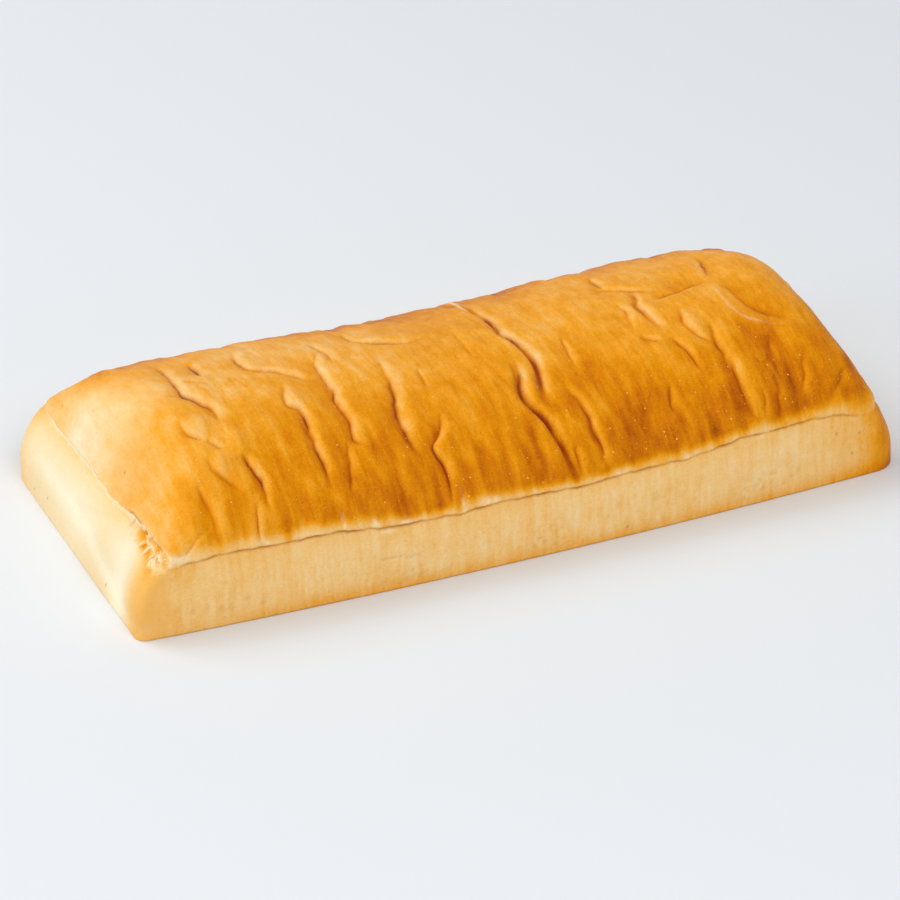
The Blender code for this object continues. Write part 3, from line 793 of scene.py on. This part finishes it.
# Light and shade painted on the relief: less on what stands high, partly drier crust and partly painted
# highlight; more in what lies low, as painted shade; and less on the lit flanks of folds, as a painted
# highlight: how many mm of each take how much in full.
RELIEF_LIGHT_AND_SHADE = ((relief, 1.2, -0.06), (relief, -1, 0.07), (flank_highlight, 1.9, -0.22))
BLOTCHES = 0.06
BLOTCH_SIZE = (16, 26)
STREAKS = 0.04
LOW_STREAKS = 0.10
STREAK_SIZE = (3, 15)
# Patches that browned more or less than what is round them; their height is a share of browning.
STAINS = (Swell(5, -0.08, 10, 22, 0.08), Swell(28, 0.0, 9, 26, -0.06), Swell(-58, -0.05, 6, 20, 0.04),
          Swell(78, 0.12, 12, 10, 0.05), Swell(99, -0.56, 4, 7, 0.08))
# Places along the front, and how high over the seam its pale band reaches there.
BAND_X = (-125, -105, -83, -66, -43, -21, 0, 20, 42, 75, 100, 118)
BAND_HEIGHT = (4.5, 4.8, 4.6, 4.6, 3.0, 4.4, 3.4, 2.8, 3.8, 4.0, 4.8, 6.0)
# Raggedness of the band's edge: height in mm, size and seed.
BAND_RAGS = ((1.2, (5, 30), 8), (0.8, (2.2, 30), 24))
BAND_FADE = (1.25, 0.25)  # the band sets in between these shares of its height
BAND_BAKE = 0.355
BAND_TONES = (Tone(0.05, (0, 60)), Tone(0.08, (108, 124)))
WALL_BAKE = 0.285
WALL_TONES = (Tone(0.02, (-80, -120)), Tone(0.13, (98, 133)))
END_WALL_BAKE = 0.105
TORN_WALL_EDGE = 0.03  # more, where the crust lies under the tear's line
CORNER_BAKE = 0.27  # more at the upright corners, and half of that at the back of the -X end
CORNER_INSET = 4
CORNER_REACH = 8
RIM_BAKE = 0.06  # more just under the seam, but little of it on the -X end
RIM_ON_END = 0.2
RIM_REACH = 3.5
FOOT_TONES = (Tone(0.05), Tone(0.12, (-115, -85)))  # more at the lower edge, browned by the tin and darkened as painted shade near the floor
FOOT_REACH = 4
# More below and above the trough of the -X end, up to this height in mm from it, and less in it: together
# a painted highlight along the trough.
TROUGH_SIDES = ((0.05, -7), (0.04, 7))
TROUGH_HIGHLIGHT = 0.03
HOLLOW_HIGHLIGHT = 0.045  # less, for each mm that a hollow is deep: a painted highlight in the hollows of the -X end
GLOW_BAKE = 0.20  # more on the wall under the torn corner
GLOW_Y = -54
GLOW_BREADTH = 6
GLOW_HEIGHT = 4
# The torn crumb, in its hollows, and how much paler its crags are.
TORN_BAKE = 0.58
TORN_WALL_BAKE = 0.56
TORN_PALING = 0.28


def toned(base, tones, x, v=0):
    """Browning of a part: its base and what its tones add to that."""
    return base + sum(tone.share * fade(x, *tone.along) * fade(v, *tone.across) for tone in tones)


dome_bake = toned(CROWN_BAKE, DOME_TONES, dome_x, grid_v)
dome_bake -= BACK_END_PALING * fade(dome_x, *BACK_END_X) * fade(plan_y, *BACK_END_Y)
dome_bake += LIP_BAKE * ramp(dome_step, 0, TEAR_STEP) * fade(plan_y, *LIP_Y)
band_edge = np.interp(dome_x, BAND_X, BAND_HEIGHT)
for height, size, seed in BAND_RAGS:
    band_edge += height * crust_noise(size, seed)
to_band = np.minimum(toned(BAND_BAKE, BAND_TONES, dome_x) - dome_bake, 0)
dome_bake += to_band * fade(above_seam / band_edge, *BAND_FADE)
for stain in STAINS:
    dome_bake += swelling(stain)
dome_bake += BLOTCHES * crust_noise(BLOTCH_SIZE, 9)
dome_bake += (STREAKS + LOW_STREAKS * low_on_dome) * crust_noise(STREAK_SIZE, 17)
for shape, full, more in RELIEF_LIGHT_AND_SHADE:
    dome_bake += more * ramp(shape, 0, full)
dome_bake += (END_WALL_BAKE + TORN_WALL_EDGE - dome_bake) * dome_under
dome_bake += (TORN_BAKE - TORN_PALING * fade(dome_tatters, -1, 1) - dome_bake) * dome_torn

wall_x, wall_y, wall_height = np.moveaxis(walls, -1, 0)
wall_below = rim_top - wall_height
left_wall = fade(wall_x, *END_WALL_X)
wall_bake = toned(WALL_BAKE, WALL_TONES, wall_x)
wall_bake += (END_WALL_BAKE - WALL_BAKE - WALL_TONES[0].share) * left_wall
corner_gap = np.hypot(np.clip(LENGTH / 2 - CORNER_INSET - np.abs(wall_x), 0, None),
                      np.clip(WIDTH / 2 - SIDE_BOW - CORNER_INSET - np.abs(wall_y), 0, None))
wall_bake += CORNER_BAKE * (1 - 0.5 * left_wall * (wall_y > 0)) * bell(corner_gap, CORNER_REACH)
wall_bake += RIM_BAKE * (1 - (1 - RIM_ON_END) * left_wall) * bell(wall_below, RIM_REACH)
wall_bake += toned(0, FOOT_TONES, wall_x) * bell(wall_height, FOOT_REACH)
glow = bell(wall_y - GLOW_Y, GLOW_BREADTH) * bell(wall_below, GLOW_HEIGHT)
wall_bake += GLOW_BAKE * left_wall * glow
over_trough = wall_height - np.interp(wall_y, TROUGH_Y, TROUGH_UP)
for more, height in TROUGH_SIDES:
    wall_bake += more * left_wall * fade(over_trough, 0, height)
wall_bake -= TROUGH_HIGHLIGHT * in_trough(wall_x, wall_y, wall_height)
for hollow in END_HOLLOWS:
    wall_bake -= HOLLOW_HIGHLIGHT * hollow.depth * left_wall * bell(wall_y - hollow.y, hollow.breadth)
wall_bake += (TORN_WALL_BAKE - TORN_PALING * fade(wall_tatters, -1, 1) - wall_bake) * wall_torn

# Dark marks: painted shade in the creases and slits, along the line where the loaf stands and in the
# crack of the seam, and a thin golden line on the front wall.
LINE_X = (-57, -50, -42)
LINE_UP = (12.7, 12.3, 11.3)
LINE_LEFT = (-58, -55)
LINE_RIGHT = (-41, -44)
LINE_HALF_WIDTH = 0.4
LINE_MARK = 0.20
# Painted contact shade along the foot of the walls, on all but the -X end:
CONTACT_SHADE = 0.30
CONTACT_REACH = 0.5
CONTACT_X = (-136, -130)
SLIT_SHADES = (0.6, 0.5)  # painted shade in the slits, on the dome and on the wall
CREASE_FULL = 2.4  # a crease this deep in mm gets its full painted shade
CRACK_SHADE_REACH = (0.55, 0.5)  # how far the crack's painted shade reaches above and below it

golden_line = fade(wall_x, *LINE_LEFT) * fade(wall_x, *LINE_RIGHT) * (wall_y < 0)
golden_line *= bell(wall_height - np.interp(wall_x, LINE_X, LINE_UP), LINE_HALF_WIDTH)
contact_shade = bell(wall_height, CONTACT_REACH) * fade(wall_x, *CONTACT_X)
dome_shade = np.maximum(crease_shade / CREASE_FULL, SLIT_SHADES[0] * dome_slit)
wall_shade_and_line = np.maximum(SLIT_SHADES[1] * wall_slit, CONTACT_SHADE * contact_shade)
wall_shade_and_line = np.maximum(wall_shade_and_line, LINE_MARK * golden_line)
dome_crack_shade = bell(above_seam, CRACK_SHADE_REACH[0]) * crack_share(dome_x)
wall_crack_shade = bell(wall_below, CRACK_SHADE_REACH[1]) * crack_share(wall_x)

# Pale marks of bare crumb. The skin flaked off at places along the front seam, and is
# scratched on the wall: place along, height over the seam, half length and half height.
Flake = namedtuple("Flake", "x up length height")
FLAKES = (
    Flake(-95, 1.2, 2.2, 0.8), Flake(-68, 2.6, 0.45, 2.4), Flake(-57, 1.8, 1.2, 1.2),
    Flake(-53.5, -1.3, 2.6, 0.8), Flake(-50.2, -8.3, 0.4, 3.2), Flake(-46.5, 0.9, 2.4, 1.0),
    Flake(-26, 1.8, 0.5, 2.8), Flake(-16.5, 1.7, 3.0, 1.1), Flake(31, 1.2, 2.0, 0.7),
    Flake(58, 1.0, 2.6, 0.8), Flake(84, -1.0, 2.0, 0.6),
)
FLAKE_MARK = 0.7
FLAKE_RAG_SIZE = 1.6
LIP_MARK = 0.6  # the split lips of the dome's ridges
CRAG_MARKS = (0.65, 0.55)  # the torn corner's crags, on the dome and on the wall


def crumb_shown(places, up, line, torn, crags, crag_mark):
    """Share of bare crumb on the skin; up is the height over the seam."""
    flaked = np.zeros(up.shape)
    for flake in FLAKES:
        mark = bell(places[..., 0] - flake.x, flake.length) * bell(up - flake.up, flake.height)
        flaked = np.maximum(flaked, mark)
    ragged = soft_noise(places, FLAKE_RAG_SIZE, 21)
    flaked *= FLAKE_MARK * (places[..., 1] < 0) * fade(ragged, -0.5, 1 / 6)
    return np.maximum.reduce((flaked, line * (1 - torn), crag_mark * torn * fade(0.9 * crags, 0, 1)))


dome_crumb = crumb_shown(dome, above_seam, dome_line, dome_torn, dome_tatters, CRAG_MARKS[0])
dome_crumb = np.maximum(dome_crumb, np.clip(-2 * crease_shade, 0, LIP_MARK))
wall_crumb = crumb_shown(walls, -wall_below, wall_line, wall_torn, wall_tatters, CRAG_MARKS[1])

# How uneven the colour is: less so on the walls, and least on the -X end.
UNEVEN_DOME_TONES = (Tone(-0.3, (-85, -120)),)
UNEVEN_WALLS = 0.9
UNEVEN_END_WALL = 0.18

dome_unevenness = toned(1, UNEVEN_DOME_TONES, dome_x)
wall_unevenness = UNEVEN_WALLS + (UNEVEN_END_WALL - UNEVEN_WALLS) * left_wall
# Scorched specks, near these places in mm; each marks the point of the skin next to it.
SPECKS = ((-140, 39, 3.5), (-140, 26.5, 7), (-140, -31, 5), (123, -62, 17.5), (114, -62.5, 19),
          (120, -63, 10.5), (-126, 56, 26), (-125, 44, 29), (-122, -14, 33), (33, -65.7, 4),
          (92, -49, 42))
speck_marks = np.zeros(len(skin_places))
for speck in SPECKS:
    speck_marks[np.linalg.norm(skin_places - speck, axis=1).argmin()] = 1


def over_skin(on_dome, on_walls):
    """A mark over the whole skin, in the order of its points."""
    return np.concatenate((on_dome.ravel(), on_walls.ravel()))


SKIN_MARKS = (("bake", over_skin(dome_bake, wall_bake)),
              ("unevenness", over_skin(dome_unevenness, wall_unevenness)),
              ("crease_shade", over_skin(dome_shade, wall_shade_and_line)),
              ("crack_shade", over_skin(dome_crack_shade, wall_crack_shade)),
              ("crumb", over_skin(dome_crumb, wall_crumb)),
              ("pore_shade", over_skin(np.zeros(dome_x.shape), wall_pits)),
              ("speck", speck_marks))
for name, values in SKIN_MARKS:
    attribute = skin.attributes.new(name, "FLOAT", "POINT")
    attribute.data.foreach_set("value", np.clip(values, 0, 1).astype(np.float32))

# ------------------------------
# Baked crust of a soft white loaf: thin, dry and slightly glossy, coloured by its sugars. The eye gets a
# soft sheen over a fine grain, paler on high spots, and upright streaks and pores where the tin held it.
# Its colour also carries painted shade in pores, creases, slits, the seam's crack and along the foot, and
# painted highlights on high spots, lit flanks and hollows.


def linear(hex_colour):
    """An sRGB hex colour as linear red, green, blue and alpha."""
    channels = [int(hex_colour[start:start + 2], 16) / 255 for start in (1, 3, 5)]
    return [c / 12.92 if c <= 0.04045 else ((c + 0.055) / 1.055) ** 2.4 for c in channels] + [1]


def add_node(tree, kind, values=None, **settings):
    """Add a node; values maps its inputs to numbers, or to sockets that are linked to them."""
    node = tree.nodes.new(kind)
    for name, setting in settings.items():
        setattr(node, name, setting)
    for name, value in (values or {}).items():
        if isinstance(value, bpy.types.NodeSocket):
            tree.links.new(value, node.inputs[name])
        else:
            node.inputs[name].default_value = value
    return node


BAKE_COLOURS = (
    (0.0, "#fcf1d2"),  # crumb, not coloured
    (0.12, "#f5deb0"),  # end wall
    (0.27, "#f8cb84"),  # side wall
    (0.42, "#f3b65c"),  # shaded band over the seam
    (0.52, "#f2a42a"),  # gold of the ridge
    (0.66, "#e28e00"),
    (0.78, "#d27700"),  # low on the sides
    (0.90, "#b86000"),
    (1.0, "#9c4604"),
)
# Patterns of uneven baking: size in mm, stretch of the features along x, y and z, detail, and
# share of the browning. The third and fourth run in streaks across the loaf and down its walls.
BAKE_PATTERNS = (
    (10, (1, 1, 1), 3, 0.18),
    (3.5, (1, 1, 1), 2, 0.09),
    (3, (1, 4, 6), 2, 0.20),
    (1.5, (1, 5, 7), 2, 0.20),
    (1.2, (1, 1, 1), 3, 0.12),
    (0.6, (1, 1, 1), 2, 0.15),
)
# What covers the baked colour: mark, strength and colour. The pore, crease and crack covers are painted
# shade in the pits, creases, slits, along the foot and in the seam's crack, and the crease cover also
# draws the golden line on the front wall; crumb and speck are the crust's own colours.
COVERS = (
    ("pore_shade", 0.45, "#cfa566"),
    ("crease_shade", 0.93, "#96340a"),
    ("crumb", 0.85, "#fff1cc"),
    ("crack_shade", 0.9, "#b87420"),
    ("speck", 0.5, "#8a4a12"),
)
GRAIN_STRENGTH = 0.4  # the two finest patterns also raise a grain, in metres
GRAIN_HEIGHTS = (0.0005, 0.00025)

baked_crust = bpy.data.materials.new("baked_crust")
baked_crust.use_nodes = True
tree = baked_crust.node_tree
shader = tree.nodes["Principled BSDF"]
place = add_node(tree, "ShaderNodeTexCoord").outputs["Object"]
marks = {}
for name, _ in SKIN_MARKS:
    marks[name] = add_node(tree, "ShaderNodeAttribute", attribute_name=name).outputs["Fac"]
patterns = []
uneven = -sum(part for _, _, _, part in BAKE_PATTERNS) / 2
for size, stretch, detail, part in BAKE_PATTERNS:
    squeezed = add_node(tree, "ShaderNodeVectorMath", {0: place, 1: stretch}, operation="DIVIDE")
    values = {"Vector": squeezed.outputs[0], "Scale": 1 / (size * MM), "Detail": detail}
    patterns.append(add_node(tree, "ShaderNodeTexNoise", values).outputs["Fac"])
    values = {0: patterns[-1], 1: part, 2: uneven}
    uneven = add_node(tree, "ShaderNodeMath", values, operation="MULTIPLY_ADD").outputs[0]
values = {0: uneven, 1: marks["unevenness"], 2: marks["bake"]}
baked = add_node(tree, "ShaderNodeMath", values, operation="MULTIPLY_ADD").outputs[0]
colours = add_node(tree, "ShaderNodeValToRGB", {"Fac": baked})
while len(colours.color_ramp.elements) < len(BAKE_COLOURS):
    colours.color_ramp.elements.new(1)
for element, (position, colour) in zip(colours.color_ramp.elements, BAKE_COLOURS):
    element.position = position
    element.color = linear(colour)
crust_colour = colours.outputs[0]
for name, strength, cover in COVERS:
    values = {0: marks[name], 1: strength}
    amount = add_node(tree, "ShaderNodeMath", values, operation="MULTIPLY").outputs[0]
    values = {"Factor": amount, "A": crust_colour, "B": linear(cover)}
    crust_colour = add_node(tree, "ShaderNodeMix", values, data_type="RGBA").outputs["Result"]
values = {"Strength": GRAIN_STRENGTH}
for pattern, height in zip(patterns[-2:], GRAIN_HEIGHTS):
    values.update({"Height": pattern, "Distance": height})
    values["Normal"] = add_node(tree, "ShaderNodeBump", values).outputs[0]
shader.inputs["Roughness"].default_value = 0.55
shader.inputs["Specular IOR Level"].default_value = 0.06
shader.inputs["Sheen Weight"].default_value = 0.12
shader.inputs["Sheen Roughness"].default_value = 0.35
shader.inputs["IOR"].default_value = 1.45
tree.links.new(values["Normal"], shader.inputs["Normal"])
tree.links.new(crust_colour, shader.inputs["Base Color"])
skin.materials.append(baked_crust)
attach(loaf, "root")
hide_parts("loaf")

# ------------------------------
# Blisters. Gas under the thin crust raised tiny pale domes on it, most of them on the front of the dome
# and low on its sides. Their pale colour also stands for the fine glints of the crust, a painted
# highlight.
BLISTER_COUNT = 700
BLISTER_SEED = 12
BLISTER_RADII = (0.11, 0.38)
BLISTER_FEWNESS = 2.5  # the higher it is, the fewer of them are large
BLISTER_SINK = 0.25
BLISTER_SIDES = 7
# Radius and height of a blister's rings and top, in its own radii.
BLISTER_RINGS = ((0.92, 0.1), (0.6, 0.3375))
BLISTER_RISE = 0.45
BLISTER_PATCHES = (30, 30)  # they come in patches of about this size
BLISTERS_START = 3  # and in full number from this height over the seam
BLISTERS_HIGH = 0.5  # fewer high on the dome, more low on it
BLISTERS_LOW = 1.3
ASLANT = (0.3, 0.9, 0.2)  # any direction that no part of the crust faces

draw = np.random.default_rng(BLISTER_SEED)
crust_areas = np.cross(np.gradient(dome, axis=0), np.gradient(dome, axis=1))
chance = np.linalg.norm(crust_areas, axis=-1) * ramp(above_seam, 0, BLISTERS_START)
chance *= BLISTERS_HIGH + (BLISTERS_LOW - BLISTERS_HIGH) * low_on_dome
chance *= 1 + crust_noise(BLISTER_PATCHES, 19)
crust_normals = unit(crust_areas).reshape(-1, 3)
chosen = draw.choice(dome_x.size, BLISTER_COUNT, replace=False, p=(chance / chance.sum()).ravel())
blister_places = []
blister_faces = []
for number in chosen:
    middle = dome.reshape(-1, 3)[number]
    up = crust_normals[number]
    side = unit(np.cross(up, ASLANT))
    other = np.cross(up, side)
    radius = np.interp(draw.random() ** BLISTER_FEWNESS, (0, 1), BLISTER_RADII)
    first = len(blister_places)
    blister_places.append(middle - up * BLISTER_SINK)
    for ring_radius, ring_up in ((1, -BLISTER_SINK / radius), *BLISTER_RINGS):
        for turn in np.arange(BLISTER_SIDES) * math.tau / BLISTER_SIDES:
            round_the_middle = side * math.cos(turn) + other * math.sin(turn)
            blister_places.append(middle + radius * (ring_radius * round_the_middle + ring_up * up))
    top = len(blister_places)
    blister_places.append(middle + up * radius * BLISTER_RISE)
    for step in range(BLISTER_SIDES):
        column = first + 1 + BLISTER_SIDES * np.arange(3)
        here = (column + step).tolist()
        there = (column + (step + 1) % BLISTER_SIDES).tolist()
        blister_faces.append((first, there[0], here[0]))
        blister_faces.append((here[0], there[0], there[1], here[1]))
        blister_faces.append((here[1], there[1], there[2], here[2]))
        blister_faces.append((here[2], there[2], top))


def even_finish(name, colour, roughness, gloss):
    """A material of one colour; gloss is its share of the usual reflection."""
    finish = bpy.data.materials.new(name)
    finish.use_nodes = True
    finish_shader = finish.node_tree.nodes["Principled BSDF"]
    finish_shader.inputs["Base Color"].default_value = linear(colour)
    finish_shader.inputs["Roughness"].default_value = roughness
    finish_shader.inputs["Specular IOR Level"].default_value = gloss
    return finish


blisters = add_piece("crust_blisters", blister_places, blister_faces)
# Blown crust: paler than what is round it, since little of it touched the heat, and pale as a painted
# highlight for the glints on the crust.
blisters.data.materials.append(even_finish("blown_crust_and_glint", "#f5b75e", 0.4, 0.3))
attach(blisters, "root")

# ------------------------------
# Torn crumb. Where the front corner tore, short strands of white crumb stand
# out of the tear, pulled thin and left ragged by the rising dome.
STRAND_COUNT = 18
STRAND_SEED = 5
STRAND_LENGTHS = (1.4, 3.4)
STRAND_RADII = (0.12, 0.30)
STRAND_LIFT = 0.22
STRAND_SIDES = 5
STRAND_STEPS = 7
STRAND_BEND = 0.8
STRAND_ROOT = 0.1  # how deep its ends sit in the skin
STRAND_TIP = 0.1  # thickness of its ends, as a share
STRAND_ROUNDNESS = 0.7
STRAND_LIE = (1.5, 0, 0)  # what turns most of them across the loaf

draw = np.random.default_rng(STRAND_SEED)
skin_normals = np.empty(3 * len(skin_places))
skin.vertex_normals.foreach_get("vector", skin_normals)
skin_normals = skin_normals.reshape(-1, 3)
torn_marks = over_skin(dome_torn, wall_torn) ** 2
rooted = draw.choice(len(skin_places), STRAND_COUNT, replace=False, p=torn_marks / torn_marks.sum())
strand_places = []
strand_faces = []
for number in rooted:
    up = skin_normals[number]
    ahead = unit(np.cross(up, draw.normal(size=3) + STRAND_LIE))
    aside = np.cross(up, ahead)
    length = draw.uniform(*STRAND_LENGTHS)
    radius = draw.uniform(*STRAND_RADII)
    bend = draw.uniform(-STRAND_BEND, STRAND_BEND)
    first = len(strand_places)
    for run in np.linspace(0, 1, STRAND_STEPS):
        arch = math.sin(math.pi * run)
        middle = skin_places[number] + ahead * length * (run - 0.5) + aside * bend * arch
        middle = middle + up * (STRAND_LIFT * arch - STRAND_ROOT)
        thick = radius * (STRAND_TIP + (1 - STRAND_TIP) * abs(arch) ** STRAND_ROUNDNESS)
        for turn in np.arange(STRAND_SIDES) * math.tau / STRAND_SIDES:
            strand_places.append(middle + thick * (aside * math.cos(turn) + up * math.sin(turn)))
    strand_faces.append(tuple(range(first, first + STRAND_SIDES)))
    for step in range(STRAND_STEPS - 1):
        for side in range(STRAND_SIDES):
            here = first + step * STRAND_SIDES + side
            there = first + step * STRAND_SIDES + (side + 1) % STRAND_SIDES
            strand_faces.append((there, here, here + STRAND_SIDES, there + STRAND_SIDES))
    last = first + (STRAND_STEPS - 1) * STRAND_SIDES
    strand_faces.append(tuple(range(last + STRAND_SIDES - 1, last - 1, -1)))
strands = add_piece("torn_crumb", strand_places, strand_faces)
# White crumb: matt, open and hardly coloured by the oven.
strands.data.materials.append(even_finish("white_crumb", "#fcd99a", 0.8, 0.1))
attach(strands, "root")

# ------------------------------
# Floor. A wide matt sheet, white with a cool tinge.
FLOOR_HALF = 6000
FLOOR_CORNERS = ((-1, -1), (1, -1), (1, 1), (-1, 1))
FLOOR_DROP = 0.05  # keeps it clear of the loaf's flat base

floor_corners = [(x * FLOOR_HALF, y * FLOOR_HALF, -FLOOR_DROP) for x, y in FLOOR_CORNERS]
floor = add_piece("floor", floor_corners, [(0, 1, 2, 3)])
# Painted board: white, flat and without gloss.
floor.data.materials.append(even_finish("painted_board", "#e6e9ec", 0.8, 0.5))

# ------------------------------
# Light. Three soft boxes, low at the left, in front above and behind to the
# left, in a pale room that fills the shadows.
BOX_DISTANCE = 2.0
BOX_SIZE = 1.2
# Each soft box: name, direction from the loaf and power.
SOFT_BOXES = (
    ("left_box", (-0.94, 0.0, 0.34), 7.5),
    ("front_box", (0.0, -0.68, 0.73), 15),
    ("back_box", (-0.45, 0.45, 0.77), 16),
)
ROOM_STRENGTH = 0.46

for name, towards, power in SOFT_BOXES:
    direction = Vector(towards).normalized()
    light = bpy.data.lights.new(name, "AREA")
    light.size = BOX_SIZE
    light.energy = power
    box = bpy.data.objects.new(name, light)
    box.location = direction * BOX_DISTANCE
    box.rotation_euler = direction.to_track_quat("Z", "Y").to_euler()
    bpy.context.scene.collection.objects.link(box)
room = bpy.data.worlds.new("room")
room.use_nodes = True
room.node_tree.nodes["Background"].inputs["Color"].default_value = linear("#fbfdff")
room.node_tree.nodes["Background"].inputs["Strength"].default_value = ROOM_STRENGTH
bpy.context.scene.world = room
